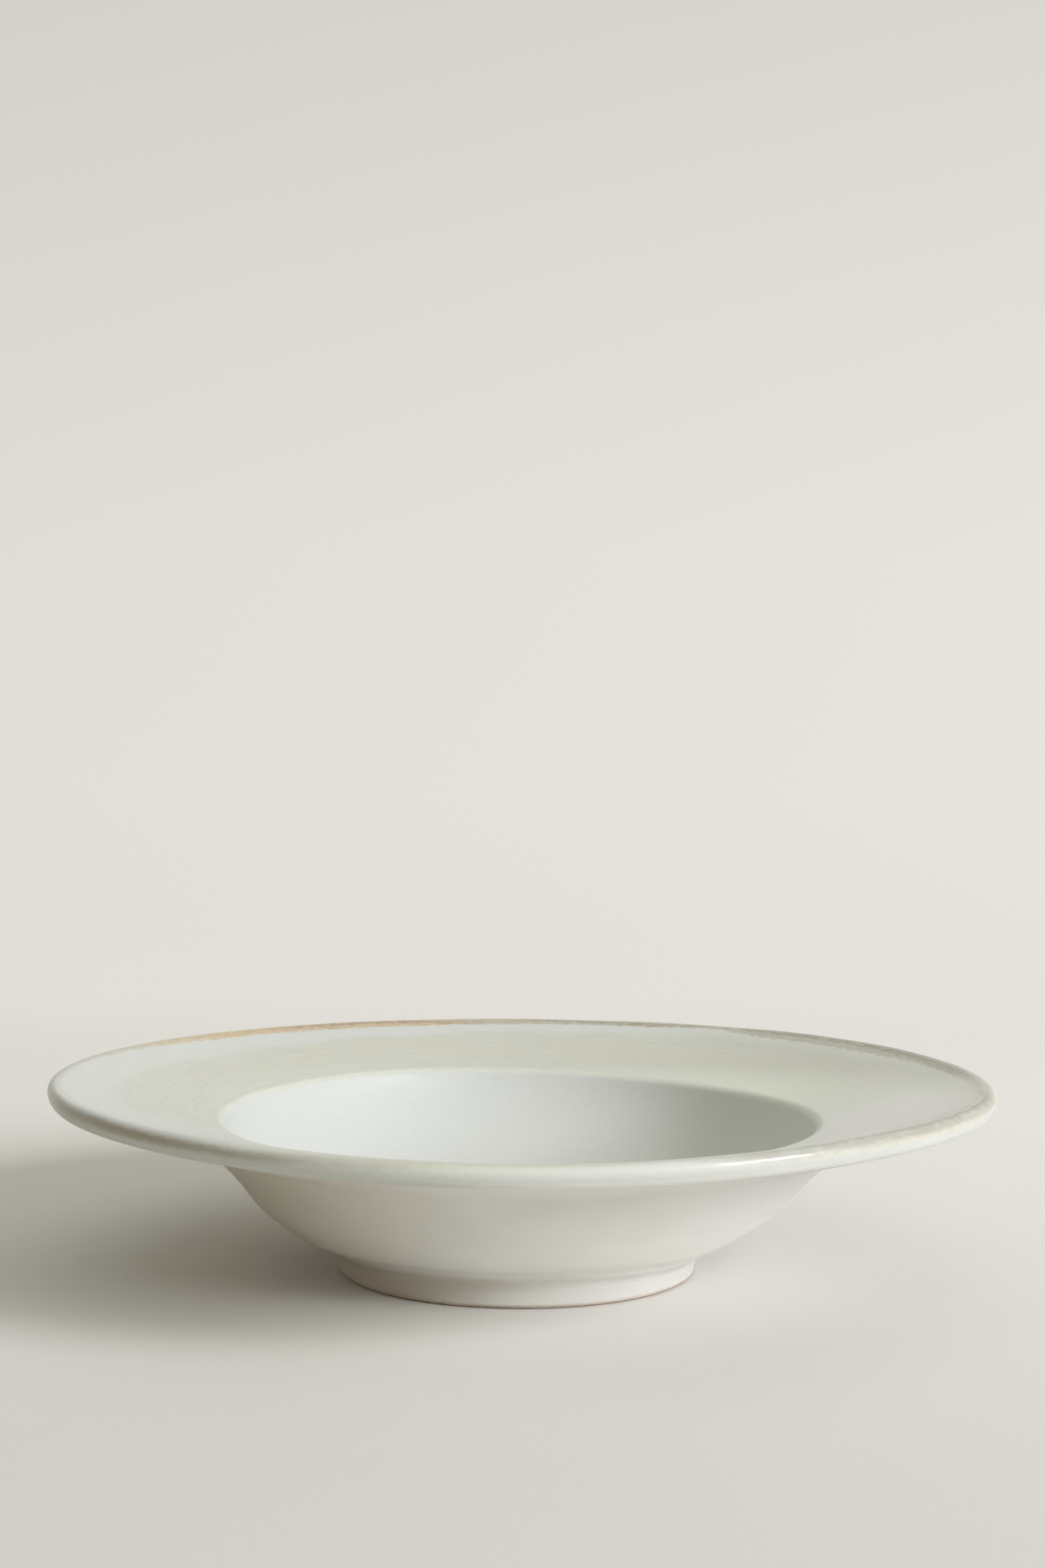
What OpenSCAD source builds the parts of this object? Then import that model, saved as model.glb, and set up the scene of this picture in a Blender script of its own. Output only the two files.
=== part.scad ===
// Stoneware pasta bowl: a deep round well under a broad flange that slopes in to it,
// on a low turned foot. The clay is thrown in one piece, with a foot ring luted under it,
// and coats of glaze that meet edge to edge cover everything but the ring's resting face.
// The outline is a chain of tangent arcs. Clay and glaze are cut from that one chain at
// different depths, so every coat lies face to face on what it covers.

/* [Overall] */
// Diameter across the lip
rim_d = 280; // [260:1:320]
// Height from the table to the top of the lip
bowl_h = 58; // [52:0.5:66]

/* [Lip and flange] */
// Thickness of the rounded lip
lip_t = 6.2; // [4.5:0.1:8]
// Diameter of the well's edge, where the flange turns down
well_edge_d = 178.6; // [165:0.2:186]
// Drop from the top of the lip to the well's edge
flange_drop = 12.4; // [8:0.1:18]
// Radius of the soft turn from the flange into the well
well_edge_r = 4; // [2.5:0.1:5]
// Thickness of the flange at its root, by the well's edge
flange_root_t = 7.9; // [6:0.1:9]
// Radius between the flange's underside and the wall
under_fillet_r = 5; // [3:0.5:10]

/* [Well] */
// Thickness of the floor on the axis, glazes included
floor_t = 6.5; // [5:0.1:9]
// Radius of the floor's shallow dish
floor_dish_r = 400; // [300:5:600]
// Straight stretch of the well's side, just under its edge
well_straight = 1; // [0.5:0.1:3]
// Slope of the well's side just under its edge, in degrees
well_side_slope = 68; // [64:0.5:74]

/* [Outer wall] */
// Thickness of the wall at its thinnest, glazes included
wall_t = 5.2; // [4:0.1:7]
// Radius of the long curve from the foot up to the flange
wall_r = 112; // [90:1:160]

/* [Foot] */
// Outside diameter of the foot, where it stands
foot_d = 106.2; // [98:0.2:112]
// Width of the foot's wall, where it stands
foot_w = 8; // [7:0.1:10]
// Height of the corner between the foot and the wall
foot_h = 6.4; // [6.2:0.1:7.4]
// Lean of both sides of the foot, in degrees
foot_lean = 4; // [1:0.5:8]
// Radius of the cove between the foot and the wall
cove_r = 3; // [1.5:0.1:4]
// Radius of the turn from the foot's inside to the base
recess_fillet_r = 2; // [1:0.1:2.5]
// Rounding of the bare edges that the foot stands on
foot_edge_r = 1; // [0.6:0.1:1.5]
// Depth of the recess inside the foot
recess_h = 5.5; // [5:0.1:6]

/* [Glaze] */
// Thickness of the glaze all over
glaze_t = 0.5; // [0.3:0.05:0.8]
// Depth to which the brushed band's second glaze has melted into the first
band_t = 0.25; // [0.15:0.05:0.25]
// Flange glaze between the band's inner edge and the turn into the well
band_inset = 0.8; // [0.4:0.1:4]
// Share of the flange's flat stretch that the band covers
band_w_share = 0.79; // [0.6:0.01:0.85]
// Share of the band's width over which it thins out at each edge
band_fade_share = 0.07; // [0.03:0.01:0.2]

/* [Hidden] */
$fn = 180;

// Where the lip's glaze starts and ends round the lip, as directions that the surface faces
lip_glaze_start = 78;
lip_glaze_end = -4;

// Widest gap allowed between a round stretch of the outline and the chords that draw it
outline_fit = 0.02;

// Directions are in degrees from straight out, turning upwards, and this is one step that way
function heading(a) = [cos(a), sin(a)];
up = 90;
down = -90;

// One arc of the outline: a centre, a radius (minus where the surface is hollow), and the
// directions that its two ends face. Each station is a place and the direction it faces.
function bend(centre, radius, first, last) =
    let (steps = max(2, ceil(abs(last - first)/(2*acos(1 - outline_fit/abs(radius))))))
        [for (i = [0:steps]) let (a = first + (last - first)*i/steps) [centre + radius*heading(a), heading(a)]];

// A station on the flat stretch from one station to the next, at a distance from the first
function between(a, b, distance) =
    let (d = b[0] - a[0]) [a[0] + d*distance/norm(d), a[1]];

// Places of stations at a depth under the finished surface
function skin(stations, depth) = [for (s = stations) s[0] - depth*s[1]];
function backwards(list) = [for (i = [len(list) - 1:-1:0]) list[i]];
function first_of(list) = list[0];
function last_of(list) = list[len(list) - 1];

// How far a point goes along a way until it is a given distance from a centre, for the
// nearer (side -1) or the farther (side 1) of the two places where it is
function reach(start, way, centre, distance, side) =
    let (gap = start - centre, d = gap*way) side*sqrt(d*d - gap*gap + distance*distance) - d;
function direction(v) = atan2(v[1], v[0]);

// Centre of a rounding of a given radius in the corner between two straight stretches
function round_centre(corner, radius, face_a, face_b) =
    let (a = heading(face_a), b = heading(face_b)) corner - radius*(a + b)/(1 + a*b);

// Lip: a half round, tangent to the top and the underside of the flange
lip_r = lip_t/2;
lip_centre = [rim_d/2 - lip_r, bowl_h - lip_r];
well_edge = [well_edge_d/2, bowl_h - flange_drop];
lip_reach = lip_centre - well_edge;
lip_rise = direction(lip_reach);
flange_slope = lip_rise + asin(lip_r/norm(lip_reach));
under_slope = lip_rise + asin((flange_root_t - lip_r)/norm(lip_reach));
top_face = up + flange_slope;
under_face = down + under_slope;

// Well: a shallow dish, a tighter curve up the side, and a soft turn at the edge
well_face = up + well_side_slope;
turn_centre = round_centre(well_edge, well_edge_r, top_face, well_face);
dish_centre = [0, recess_h + floor_t + floor_dish_r];
// The side's curve starts under the straight stretch, and its radius is the one that
// brings it smoothly onto the dish
side_top = turn_centre + well_edge_r*heading(well_face) - well_straight*heading(well_side_slope);
side_gap = side_top - dish_centre;
well_curve_r = (pow(floor_dish_r, 2) - side_gap*side_gap)/(2*(side_gap*heading(well_face) + floor_dish_r));
well_centre = side_top + well_curve_r*heading(well_face);
dish_face = up + atan2(well_centre[0] - dish_centre[0], dish_centre[1] - well_centre[1]);

// Wall: one long arc through the corner at the top of the foot. Its centre is the one that
// leaves the wall's thickness behind the curve of the well's side.
foot_corner = [foot_d/2 + foot_h*tan(foot_lean), foot_h];
corner_gap = foot_corner - well_centre;
corner_way = corner_gap/norm(corner_gap);
centre_reach = wall_r - well_curve_r - wall_t;
centre_x = (corner_gap*corner_gap + pow(centre_reach, 2) - pow(wall_r, 2))/(2*norm(corner_gap));
centre_y = sqrt(pow(centre_reach, 2) - pow(centre_x, 2));
wall_centre = well_centre + centre_x*corner_way + centre_y*[corner_way[1], -corner_way[0]];

// Fillets at the wall's two ends: under the flange, found inwards from the lip, and the
// cove over the foot, found down the foot's side
under_way = heading(under_slope);
under_start = lip_centre + (lip_r + under_fillet_r)*heading(under_face);
fillet_centre = under_start - under_way*reach(under_start, -under_way, wall_centre, wall_r + under_fillet_r, -1);
wall_top_face = direction(fillet_centre - wall_centre);
foot_way = heading(up - foot_lean);
cove_start = foot_corner + cove_r*heading(-foot_lean);
cove_centre = cove_start - foot_way*reach(cove_start, -foot_way, wall_centre, wall_r + cove_r, 1);
wall_low_face = direction(cove_centre - wall_centre);

// Foot: straight sides that lean out upwards, on rounded bare edges
foot_edge_centre = [foot_d/2 - foot_edge_r, foot_edge_r];
inside_face = foot_lean - 180;
inside_edge_centre = [foot_d/2 - foot_w + foot_edge_r, foot_edge_r];
inside_corner = [foot_d/2 - foot_w - recess_h*tan(foot_lean), recess_h];
recess_centre = round_centre(inside_corner, -recess_fillet_r, inside_face, down);

// Stretches of the outline, from the middle of the well out over the lip and back to the
// middle of the base
dish_stations = bend(dish_centre, -floor_dish_r, up, dish_face);
side_stations = bend(well_centre, -well_curve_r, dish_face, well_face);
turn_stations = bend(turn_centre, well_edge_r, well_face, top_face);
lip_top_stations = bend(lip_centre, lip_r, top_face, lip_glaze_start);
lip_side_stations = bend(lip_centre, lip_r, lip_glaze_start, lip_glaze_end);
lip_under_stations = bend(lip_centre, lip_r, lip_glaze_end, under_face);
fillet_stations = bend(fillet_centre, -under_fillet_r, under_face, wall_top_face);
wall_stations = bend(wall_centre, wall_r, wall_top_face, wall_low_face);
cove_stations = bend(cove_centre, -cove_r, wall_low_face, -foot_lean);
// The foot's lower edges are bare, so their clay reaches the table: their arcs are given
// for the finished surface, which lies the glaze's thickness outside the clay
foot_edge_stations = bend(foot_edge_centre, foot_edge_r + glaze_t, -foot_lean, down);
inside_edge_stations = bend(inside_edge_centre, foot_edge_r + glaze_t, down, inside_face);
recess_stations = bend(recess_centre, -recess_fillet_r, inside_face, down);
base_middle = [[0, recess_h], heading(down)];

// The brushed band lies on the flange's flat stretch and thins out at both edges
flange_in = last_of(turn_stations);
flange_out = first_of(lip_top_stations);
band_w = band_w_share*norm(flange_out[0] - flange_in[0]);
band_stations = [for (share = [0, band_fade_share, 1 - band_fade_share, 1])
    between(flange_in, flange_out, band_inset + share*band_w)];
band_depth_shares = [0, 1, 1, 0];
band_floor = [for (i = [0:len(band_stations) - 1])
    band_stations[i][0] - band_t*band_depth_shares[i]*band_stations[i][1]];

// What each coat covers
well_cover = concat(dish_stations, side_stations, turn_stations);
inner_cover = concat(well_cover, band_stations, lip_top_stations);
outer_cover = concat(lip_under_stations, fillet_stations, wall_stations, cove_stations,
    [first_of(foot_edge_stations)]);
base_cover = concat([last_of(inside_edge_stations)], recess_stations, [base_middle]);

// The joint between the body and the foot ring: the wall's own line carried on under the
// ring to the flat base
joint_outer = last_of(skin(wall_stations, glaze_t));
joint_inner = last_of(skin(recess_stations, glaze_t));
joint_h = joint_inner[1];
joint_corner = [joint_outer[0] - (joint_outer[1] - joint_h)/tan(wall_low_face - down), joint_h];
joint = [joint_outer, joint_corner, joint_inner];

clay_colour = [0.66, 0.55, 0.45];
white_colour = [0.88, 0.89, 0.87];
sage_colour = [0.76, 0.77, 0.70];
edge_colour = [0.62, 0.55, 0.42];
outer_colour = [0.80, 0.79, 0.75];

// A body of revolution of an outline in the half plane
module turned(outline) {
    rotate_extrude() polygon(outline);
}

// A coat of glaze over some stations, its full thickness deep
module coat(stations) {
    turned(concat(skin(stations, 0), backwards(skin(stations, glaze_t))));
}

// Thrown clay: floor, wall, flange and lip
module clay_body() {
    color(clay_colour)
        turned(concat(
            skin(inner_cover, glaze_t),
            skin(lip_side_stations, glaze_t),
            skin(lip_under_stations, glaze_t),
            skin(fillet_stations, glaze_t),
            skin(wall_stations, glaze_t),
            [joint_corner, joint_inner, [0, joint_h]]
        ));
}

// Clay ring luted under the body, with a cove outside and a fillet inside
module foot_ring() {
    color(clay_colour)
        turned(concat(
            skin(cove_stations, glaze_t),
            skin(foot_edge_stations, glaze_t),
            skin(inside_edge_stations, glaze_t),
            skin(recess_stations, glaze_t),
            [joint_corner]
        ));
}

// White glaze in the well and over the flange, with the band's bed melted into it
module inner_glaze() {
    color(white_colour)
        turned(concat(
            skin(well_cover, 0),
            band_floor,
            skin(lip_top_stations, 0),
            backwards(skin(inner_cover, glaze_t))
        ));
}

// Brushed band of sage glaze on the flange
module band_glaze() {
    color(sage_colour)
        turned(concat(skin(band_stations, 0), backwards([band_floor[1], band_floor[2]])));
}

// Narrow edge over the lip, where the glaze breaks to warmer colours
module lip_glaze() {
    color(edge_colour) coat(lip_side_stations);
}

// Satin glaze under the flange, down the wall and over the foot to its bare edge
module outer_glaze() {
    color(outer_colour) coat(outer_cover);
}

// Glaze on the base inside the foot
module base_glaze() {
    color(outer_colour) coat(base_cover);
}

clay_body();
foot_ring();
inner_glaze();
band_glaze();
lip_glaze();
outer_glaze();
base_glaze();
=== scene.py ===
import math
from collections import namedtuple

import bpy
import numpy as np
from mathutils import Matrix, Vector


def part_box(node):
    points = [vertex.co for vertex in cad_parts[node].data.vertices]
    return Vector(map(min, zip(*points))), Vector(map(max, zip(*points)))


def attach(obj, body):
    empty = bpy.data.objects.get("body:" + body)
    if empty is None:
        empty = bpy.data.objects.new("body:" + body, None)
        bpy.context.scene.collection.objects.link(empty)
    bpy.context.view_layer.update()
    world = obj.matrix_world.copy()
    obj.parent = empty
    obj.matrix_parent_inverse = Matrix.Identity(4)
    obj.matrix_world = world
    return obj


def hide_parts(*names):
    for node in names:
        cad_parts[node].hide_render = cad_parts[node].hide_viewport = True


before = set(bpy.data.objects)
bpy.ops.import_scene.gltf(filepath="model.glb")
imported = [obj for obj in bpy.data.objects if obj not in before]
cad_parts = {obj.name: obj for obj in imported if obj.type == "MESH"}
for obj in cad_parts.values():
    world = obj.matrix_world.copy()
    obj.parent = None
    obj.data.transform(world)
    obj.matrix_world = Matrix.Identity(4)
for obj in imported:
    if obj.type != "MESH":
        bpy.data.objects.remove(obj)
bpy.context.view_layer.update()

# Sizes of the outline in millimetres and degrees, named as in the CAD solids that it follows.
# The overall ones come from the frame.
MM = 0.001
rim_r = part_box("lip_glaze")[1].x/MM
bowl_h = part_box("inner_glaze")[1].z/MM
lip_t = 6.2
well_edge_d = 178.6
flange_drop = 12.4
well_edge_r = 4
flange_root_t = 7.9
under_fillet_r = 5
floor_t = 6.5
floor_dish_r = 400
well_straight = 1
well_side_slope = 68
wall_t = 5.2
wall_r = 112
foot_d = 106.2
foot_w = 8
foot_h = 6.4
foot_lean = 4
cove_r = 3
recess_fillet_r = 2
foot_edge_r = 1
recess_h = 5.5
glaze_t = 0.5
band_t = 0.25
band_inset = 0.8
band_w_share = 0.79
band_fade_share = 0.07
lip_glaze_start = 78
lip_glaze_end = -4
# Where the joint between the body and the foot ring turns down, inside the clay
joint_r = 51.46
UP = 90
DOWN = -90

lip_r = lip_t/2
foot_r = foot_d/2
well_edge = np.array([well_edge_d/2, bowl_h - flange_drop])

# Distance between the rings of a mesh, in millimetres, how close a ring braces the end of a seen
# surface, the distance under which two points are one, and the facets round the bowl
LIP_STEP = 0.16
FINE_STEP = 0.4
BROAD_STEP = 1.1
BRACE = 0.02
SAME_PLACE = 1e-6
FACETS = 640
INNER_FACETS = 320


def heading(a):
    """One step in a direction, in degrees from straight out, turning upwards."""
    return np.array([math.cos(math.radians(a)), math.sin(math.radians(a))])


def direction(v):
    """The degrees of a step, as heading takes them."""
    return math.degrees(math.atan2(v[1], v[0]))


def bend(centre, radius, first, last, step):
    """Rows along an arc: place and facing. The radius is minus where the surface is hollow."""
    count = max(2, math.ceil(abs(radius*math.radians(last - first))/step))
    a = np.radians(np.linspace(first, last, count + 1))
    facing = np.stack([np.cos(a), np.sin(a)], 1)
    return np.hstack([np.asarray(centre) + radius*facing, facing])


def straight(start, end, step):
    """Rows along the flat stretch between two rows, without its ends."""
    count = max(1, math.ceil(np.linalg.norm(end[:2] - start[:2])/step))
    share = np.linspace(0, 1, count + 1)[1:-1, None]
    return start + share*(end - start)


def reach(start, way, centre, distance, side):
    """How far a point goes along a way until it is a given distance from a centre."""
    gap = start - centre
    d = gap @ way
    return side*math.sqrt(d*d - gap @ gap + distance*distance) - d


def round_centre(corner, radius, face_a, face_b):
    """Centre of a rounding in the corner between two straight stretches."""
    a, b = heading(face_a), heading(face_b)
    return corner - radius*(a + b)/(1 + a @ b)


def outline():
    """The finished surface from the middle of the well over the lip to the middle of the base."""
    # Flange, between the well's edge and the lip
    lip = np.array([rim_r - lip_r, bowl_h - lip_r])
    lip_reach = lip - well_edge
    rise = direction(lip_reach)
    length = np.linalg.norm(lip_reach)
    top_face = UP + rise + math.degrees(math.asin(lip_r/length))
    under_slope = rise + math.degrees(math.asin((flange_root_t - lip_r)/length))
    under_face = DOWN + under_slope
    # Well: a shallow dish, with a side that is tangent to it
    well_face = UP + well_side_slope
    turn = round_centre(well_edge, well_edge_r, top_face, well_face)
    dish = np.array([0, recess_h + floor_t + floor_dish_r])
    side_top = turn + well_edge_r*heading(well_face) - well_straight*heading(well_side_slope)
    gap = side_top - dish
    curve_r = (floor_dish_r**2 - gap @ gap)/(2*(gap @ heading(well_face) + floor_dish_r))
    well = side_top + curve_r*heading(well_face)
    dish_face = UP + math.degrees(math.atan2(well[0] - dish[0], dish[1] - well[1]))
    # Wall: one long arc through the corner over the foot, a wall's thickness outside the well
    corner = np.array([foot_r + foot_h*math.tan(math.radians(foot_lean)), foot_h])
    gap = corner - well
    way = gap/np.linalg.norm(gap)
    centre_reach = wall_r - curve_r - wall_t
    centre_x = (gap @ gap + centre_reach**2 - wall_r**2)/(2*np.linalg.norm(gap))
    centre_y = math.sqrt(centre_reach**2 - centre_x**2)
    wall = well + centre_x*way + centre_y*np.array([way[1], -way[0]])
    start = lip + (lip_r + under_fillet_r)*heading(under_face)
    way = -heading(under_slope)
    fillet = start + way*reach(start, way, wall, wall_r + under_fillet_r, -1)
    wall_top = direction(fillet - wall)
    start = corner + cove_r*heading(-foot_lean)
    way = -heading(UP - foot_lean)
    cove = start + way*reach(start, way, wall, wall_r + cove_r, 1)
    wall_low = direction(cove - wall)
    # Foot, and the recess inside it
    inside = foot_lean - 180
    inner_corner = np.array([foot_r - foot_w - recess_h*math.tan(math.radians(foot_lean)), recess_h])
    recess = round_centre(inner_corner, -recess_fillet_r, inside, DOWN)
    edge = [foot_r - foot_edge_r, foot_edge_r]
    inside_edge = [foot_r - foot_w + foot_edge_r, foot_edge_r]
    edge_r = foot_edge_r + glaze_t
    rows = {
        "dish": bend(dish, -floor_dish_r, UP, dish_face, BROAD_STEP),
        "side": bend(well, -curve_r, dish_face, well_face, BROAD_STEP),
        "turn": bend(turn, well_edge_r, well_face, top_face, FINE_STEP),
        "lip_top": bend(lip, lip_r, top_face, lip_glaze_start, LIP_STEP),
        "lip_side": bend(lip, lip_r, lip_glaze_start, lip_glaze_end, LIP_STEP),
        "lip_under": bend(lip, lip_r, lip_glaze_end, under_face, LIP_STEP),
        "fillet": bend(fillet, -under_fillet_r, under_face, wall_top, FINE_STEP),
        "wall": bend(wall, wall_r, wall_top, wall_low, BROAD_STEP),
        "cove": bend(cove, -cove_r, wall_low, -foot_lean, FINE_STEP),
        "foot_edge": bend(edge, edge_r, -foot_lean, DOWN, FINE_STEP),
        "inside_edge": bend(inside_edge, edge_r, DOWN, inside, FINE_STEP),
        "recess": bend(recess, -recess_fillet_r, inside, DOWN, FINE_STEP),
    }
    # Flat stretches between the arcs, with the band's as a share of the flange
    root, tip = rows["turn"][-1], rows["lip_top"][0]
    flat = tip[:2] - root[:2]
    band_w = band_w_share*np.linalg.norm(flat)
    way = flat/np.linalg.norm(flat)
    band_start = np.hstack([root[:2] + way*band_inset, root[2:]])
    band_end = np.hstack([root[:2] + way*(band_inset + band_w), root[2:]])
    rows["band"] = np.vstack([band_start, straight(band_start, band_end, FINE_STEP), band_end])
    rows["band_in"] = straight(root, band_start, FINE_STEP)
    rows["band_out"] = straight(band_end, tip, FINE_STEP)
    rows["under"] = straight(rows["lip_under"][-1], rows["fillet"][0], BROAD_STEP)
    rows["foot_side"] = straight(rows["cove"][-1], rows["foot_edge"][0], FINE_STEP)
    rows["inside_side"] = straight(rows["inside_edge"][-1], rows["recess"][0], FINE_STEP)
    middle = np.hstack([[0, recess_h], heading(DOWN)])
    rows["base"] = np.vstack([straight(rows["recess"][-1], middle, BROAD_STEP), middle])
    rows["crown"] = lip + lip_r*heading(UP)
    return rows


ROWS = outline()
INSIDE = ("dish", "side", "turn", "band_in", "band", "band_out", "lip_top")
OUTSIDE = ("lip_under", "under", "fillet", "wall", "cove", "foot_side")


def joined(*stretches):
    """Stretches in one, each a name or its rows, without the repeats where two of them meet."""
    points = np.vstack([ROWS[part] if isinstance(part, str) else part for part in stretches])
    keep = np.ones(len(points), bool)
    keep[1:] = np.linalg.norm(np.diff(points[:, :2], axis=0), axis=1) > SAME_PLACE
    return points[keep]


WHOLE = joined(*INSIDE, "lip_side", *OUTSIDE, "foot_edge", "inside_edge", "inside_side", "recess", "base")
WHOLE_ALONG = np.concatenate([[0], np.cumsum(np.linalg.norm(np.diff(WHOLE[:, :2], axis=0), axis=1))])
WHOLE_ALONG -= WHOLE_ALONG[np.argmin(np.linalg.norm(WHOLE[:, :2] - ROWS["crown"], axis=1))]


def along_of(points):
    """Distance along the outline from the lip's crown: minus inwards, plus down the outside."""
    near = [np.argmin(np.linalg.norm(WHOLE[:, :2] - p, axis=1)) for p in points]
    return WHOLE_ALONG[near]


# The hand in it, in millimetres. The rim and the well's edge each have a level and waves round them:
# how many, how high, and where the first crest lies in degrees.
RIM_LEVEL = -0.19
RIM_WAVES = ((1, 0.58, 59), (2, 0.64, 0), (3, 0.41, -36), (4, 0.33, 43), (5, 0.16, 26))
WELL_LEVEL = 0.19
WELL_WAVES = ((1, 0.44, 134), (2, 0.48, -69), (3, 0.30, -7))
# How much the rim shrank, and how far rim and edge are out of round: how many waves, how wide, and
# where they start, in radians
RIM_SHRINK = 0.15
RIM_LOBES = ((2, 0.13, 1.1), (5, 0.06, 0))
WELL_LOBES = ((3, 0.35, 0.4), (7, 0.15, 0))
# How late across the flange the rim's waves take over from the edge's, where 1 is evenly
FLANGE_BEND = 1.3
# The zone that follows the well's edge: how far its middle lies inside the edge, and its reach
EDGE_INSET = 2
EDGE_REACH = 9
# How far the foot and the well's edge stand to the right of the lip's middle, how far out from the
# foot the wall still follows it, and the fade inside that
FOOT_SHIFT = -1.3
WELL_SHIFT = -0.7
SHIFT_REACH = 33
SHIFT_FADE = 16
# How far the wall just over the foot is raised, all round and then more at the near side, so that it
# is hollower there; its heights and its radii, each with the fades inside them; and how far the
# highest place is turned to the left, in radians
OVER_FOOT = -0.6
OVER_FOOT_NEAR = 2.7
OVER_FOOT_HEIGHTS = (0, 20, 6, 12)
OVER_FOOT_RADII = (48, 74, 4, 14)
OVER_FOOT_TURN = 0.15
# Stretches that are full or hollow: the place along the outline, how far each reaches before and
# after it, its height all round, and how much more there is of it at the left. They are the lip's
# ridge, the hollow under the flange, the full wall below it, and the crease over the foot.
SWELLINGS = (
    (2.5, 2.6, 3.3, 0.62, 0),
    (62, 17, 17, -1.1, -0.9),
    (94, 11, 11, 0.1, 0.6),
    (105.5, 7, 7, 0.6, 0.7),
    (105.5, 24, 6.5, 0.4, -0.4),
)
# A faint groove beside the lip's edge, between two angles in degrees
GROOVE_PLACE = 9.8
GROOVE_HALF_W = 0.7
GROOVE_DEPTH = 0.16
GROOVE_ARC = (-150, -105, 25)
# The left side, between two angles in degrees
LEFT_ARC = (150, 210, 45)
# The spiral that the fingers left on the wall and in the well
SPIRAL_STEP = 5.2
SPIRAL_H = 0.02
# Where the hand's finer marks lie along the outline: first and last place, and the fades inside them
BAND_MARKS = (-48, -9, 5, 5)
WALL_MARKS = (30, 105, 20, 15)
WELL_MARKS_END = -52
WELL_MARKS_FADE = 10
LIP_MARKS_MIDDLE = 2
LIP_MARKS_REACH = 9
AXIS_FADE = 30


def smooth(x):
    """0 up to 0 and 1 from 1 on, with an even turn between."""
    x = np.clip(x, 0, 1)
    return x*x*(3 - 2*x)


def window(x, first, last, fade_in, fade_out):
    """0 outside two places and 1 between them, with a fade inside each."""
    return smooth((x - first)/fade_in)*smooth((last - x)/fade_out)


def bump_at(x, middle, half):
    """1 in the middle, falling smoothly to 0 on both sides."""
    return (1 - np.clip((x - middle)/half, -1, 1)**2)**2


def arc_window(angle, first, last, fade):
    """1 between two angles in degrees, falling to 0 over a fade at each end."""
    middle, half = (first + last)/2, (last - first)/2
    off = np.abs((np.degrees(angle) - middle + 180) % 360 - 180)
    return smooth((half + fade - off)/fade)


def waves(angle, along, seed, count, turns, wavelength, depth):
    """A sum of seeded sine waves round the bowl and along its outline."""
    draw = np.random.default_rng(seed)
    total = np.zeros(np.broadcast(angle, along).shape)
    for _ in range(count):
        m = draw.integers(turns[0], turns[1] + 1)
        k = 2*math.pi/draw.uniform(*wavelength)*draw.choice([-1, 1])
        total += np.sin(m*angle + k*along + draw.uniform(0, 2*math.pi))
    return depth*total/math.sqrt(count)


def relief(angle, along):
    """Height of the finished surface over the turned outline."""
    off_axis = window(along, WHOLE_ALONG[0], WHOLE_ALONG[-1], AXIS_FADE, AXIS_FADE)
    on_band = window(along, *BAND_MARKS)
    on_wall = window(along, *WALL_MARKS)
    in_well = smooth((WELL_MARKS_END - along)/WELL_MARKS_FADE)
    at_lip = smooth(1 - np.abs(along - LIP_MARKS_MIDDLE)/LIP_MARKS_REACH)
    height = off_axis*waves(angle, along, seed=3, count=6, turns=(1, 4), wavelength=(40, 90), depth=0.10)
    height += on_band*waves(angle, along, seed=5, count=24, turns=(24, 90), wavelength=(2, 7), depth=0.010)
    height += at_lip*waves(angle, along, seed=7, count=7, turns=(5, 19), wavelength=(30, 80), depth=0.06)
    spiral = np.sin(2*math.pi*(along/SPIRAL_STEP + angle/(2*math.pi)))
    height += SPIRAL_H*(on_wall + in_well)*spiral
    grooved = arc_window(angle, *GROOVE_ARC)
    height -= GROOVE_DEPTH*grooved*np.exp(-((along - GROOVE_PLACE)/GROOVE_HALF_W)**2)
    left = arc_window(angle, *LEFT_ARC)
    for place, before, after, all_round, more_left in SWELLINGS:
        height += (all_round + more_left*left)*bump_at(along, place, np.where(along < place, before, after))
    return height


def swell(level, waves_round, angle):
    """A height that rises and falls round the bowl."""
    heights = (high*np.cos(count*(angle - math.radians(crest))) for count, high, crest in waves_round)
    return level + sum(heights)


def out_of_round(lobes, angle):
    """How far a ring stands out, round the bowl."""
    return sum(wide*np.sin(count*angle + start) for count, wide, start in lobes)


def warped(radius, height, angle):
    """Turned points given the bowl's own unevenness, as x, y and z."""
    up_wall = smooth((radius - foot_r)/(well_edge[0] - foot_r))
    up_flange = np.clip((radius - well_edge[0])/(rim_r - well_edge[0]), 0, 1)**FLANGE_BEND
    at_edge = np.exp(-((radius - well_edge[0] + EDGE_INSET)/EDGE_REACH)**2)
    over_foot = window(height, *OVER_FOOT_HEIGHTS)*window(radius, *OVER_FOOT_RADII)
    nearness = ((1 - np.sin(angle + OVER_FOOT_TURN))/2)**2
    edge_lift = swell(WELL_LEVEL, WELL_WAVES, angle)
    lift = up_wall*edge_lift + up_flange*(swell(RIM_LEVEL, RIM_WAVES, angle) - edge_lift)
    z = height + lift + over_foot*(OVER_FOOT + OVER_FOOT_NEAR*nearness)
    r = radius + up_flange*(out_of_round(RIM_LOBES, angle) - RIM_SHRINK)
    r = r + at_edge*out_of_round(WELL_LOBES, angle)
    at_foot = smooth((foot_r + SHIFT_REACH - radius)/SHIFT_FADE)
    shift = FOOT_SHIFT*at_foot + WELL_SHIFT*at_edge
    return np.stack([r*np.cos(angle) + shift, r*np.sin(angle), z], -1)


Ring = namedtuple("Ring", "start on_axis loop")


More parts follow.
